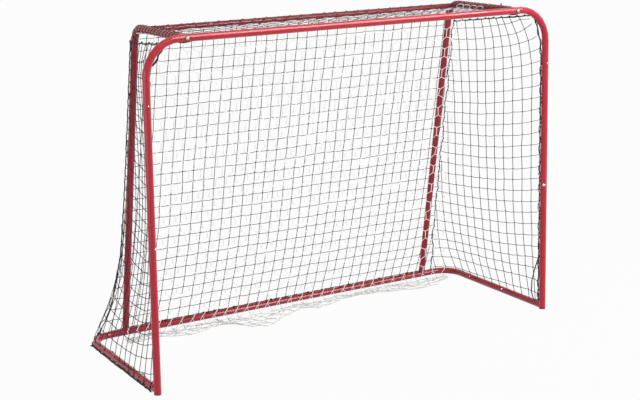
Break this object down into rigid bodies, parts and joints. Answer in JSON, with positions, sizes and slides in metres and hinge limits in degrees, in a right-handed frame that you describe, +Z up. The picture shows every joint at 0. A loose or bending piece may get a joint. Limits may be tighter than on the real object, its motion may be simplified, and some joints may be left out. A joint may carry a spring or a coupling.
{
  "type": "floorball goal",
  "caption": "Free-standing floorball goal of push-fit steel tubes with rounded upper corners, leaning rear uprights, a black net and an inner drop net.",
  "frame": {"origin": "on the floor, at the middle of the goal's width and depth", "axes": "+X along the mouth towards the right post as seen by a player facing the mouth, +Y from the mouth to the back net, +Z up"},
  "size_m": [1.6522, 0.6356, 1.184],
  "materials": {
    "red_paint": "glossy red powder coat on round steel tube",
    "zinc": "bright zinc plate",
    "dark_steel": "blackened steel",
    "spring_steel": "bare spring steel strip",
    "cap_plastic": "black moulded plastic",
    "black_twine": "black knotted polyethylene twine",
    "white_twine": "white soft polyester twine"
  },
  "bodies": {
    "frame": {"crossbar_left": "red_paint", "crossbar_right": "red_paint", "top_corner_left": "red_paint", "top_corner_right": "red_paint", "post_left": "red_paint", "post_right": "red_paint", "foot_rail_left": "red_paint", "foot_rail_right": "red_paint", "base_corner_left": "red_paint", "base_corner_right": "red_paint", "back_bar_left": "red_paint", "back_bar_right": "red_paint", "rear_upright_left": "red_paint", "rear_upright_right": "red_paint", "rear_arm_left": "red_paint", "rear_arm_right": "red_paint", "top_bar_left": "red_paint", "top_bar_right": "red_paint", "foot_cap_left": "cap_plastic", "foot_cap_right": "cap_plastic", "crossbar_bolt_left": "zinc", "crossbar_bolt_right": "zinc", "crossbar_washer_left": "dark_steel", "crossbar_washer_right": "dark_steel", "arm_plug_left": "dark_steel", "arm_plug_right": "dark_steel", "net_bolt_left": "zinc", "net_bolt_right": "zinc", "net_nut_left": "zinc", "net_nut_right": "zinc", "rail_screw_left": "zinc", "rail_screw_right": "zinc", "leaf_spring_upper_left": "spring_steel", "leaf_spring_upper_right": "spring_steel", "leaf_spring_lower_left": "spring_steel", "leaf_spring_lower_right": "spring_steel", "leaf_spring_rail_left": "spring_steel", "leaf_spring_rail_right": "spring_steel", "net_back": "black_twine", "net_left": "black_twine", "net_right": "black_twine", "net_top": "black_twine", "seam_rope_left": "black_twine", "seam_rope_right": "black_twine", "mouth_rope": "black_twine", "drop_rope": "white_twine", "drop_net": "white_twine"},
    "upper_button_left": {"button_upper_left": "zinc"},
    "upper_button_right": {"button_upper_right": "zinc"},
    "lower_button_left": {"button_lower_left": "zinc"},
    "lower_button_right": {"button_lower_right": "zinc"},
    "rail_button_left": {"button_rail_left": "zinc"},
    "rail_button_right": {"button_rail_right": "zinc"}
  },
  "joints": [
    {"name": "press_upper_left", "type": "slide", "parent": "frame", "child": "upper_button_left", "axis": [0, 1, 0], "range_m": [0, 0.0035], "stiffness_N_per_m": 1500, "springref_m": -0.001, "deforming": ["leaf_spring_upper_left"]},
    {"name": "press_upper_right", "type": "slide", "parent": "frame", "child": "upper_button_right", "axis": [0, 1, 0], "range_m": [0, 0.0035], "stiffness_N_per_m": 1500, "springref_m": -0.001, "deforming": ["leaf_spring_upper_right"]},
    {"name": "press_lower_left", "type": "slide", "parent": "frame", "child": "lower_button_left", "axis": [0, -1, 0], "range_m": [0, 0.0035], "stiffness_N_per_m": 1500, "springref_m": -0.001, "deforming": ["leaf_spring_lower_left"]},
    {"name": "press_lower_right", "type": "slide", "parent": "frame", "child": "lower_button_right", "axis": [0, -1, 0], "range_m": [0, 0.0035], "stiffness_N_per_m": 1500, "springref_m": -0.001, "deforming": ["leaf_spring_lower_right"]},
    {"name": "press_rail_left", "type": "slide", "parent": "frame", "child": "rail_button_left", "axis": [-0.866, 0, -0.5], "range_m": [0, 0.0035], "stiffness_N_per_m": 1500, "springref_m": -0.001, "deforming": ["leaf_spring_rail_left"]},
    {"name": "press_rail_right", "type": "slide", "parent": "frame", "child": "rail_button_right", "axis": [0.866, 0, -0.5], "range_m": [0, 0.0035], "stiffness_N_per_m": 1500, "springref_m": -0.001, "deforming": ["leaf_spring_rail_right"]}
  ]
}
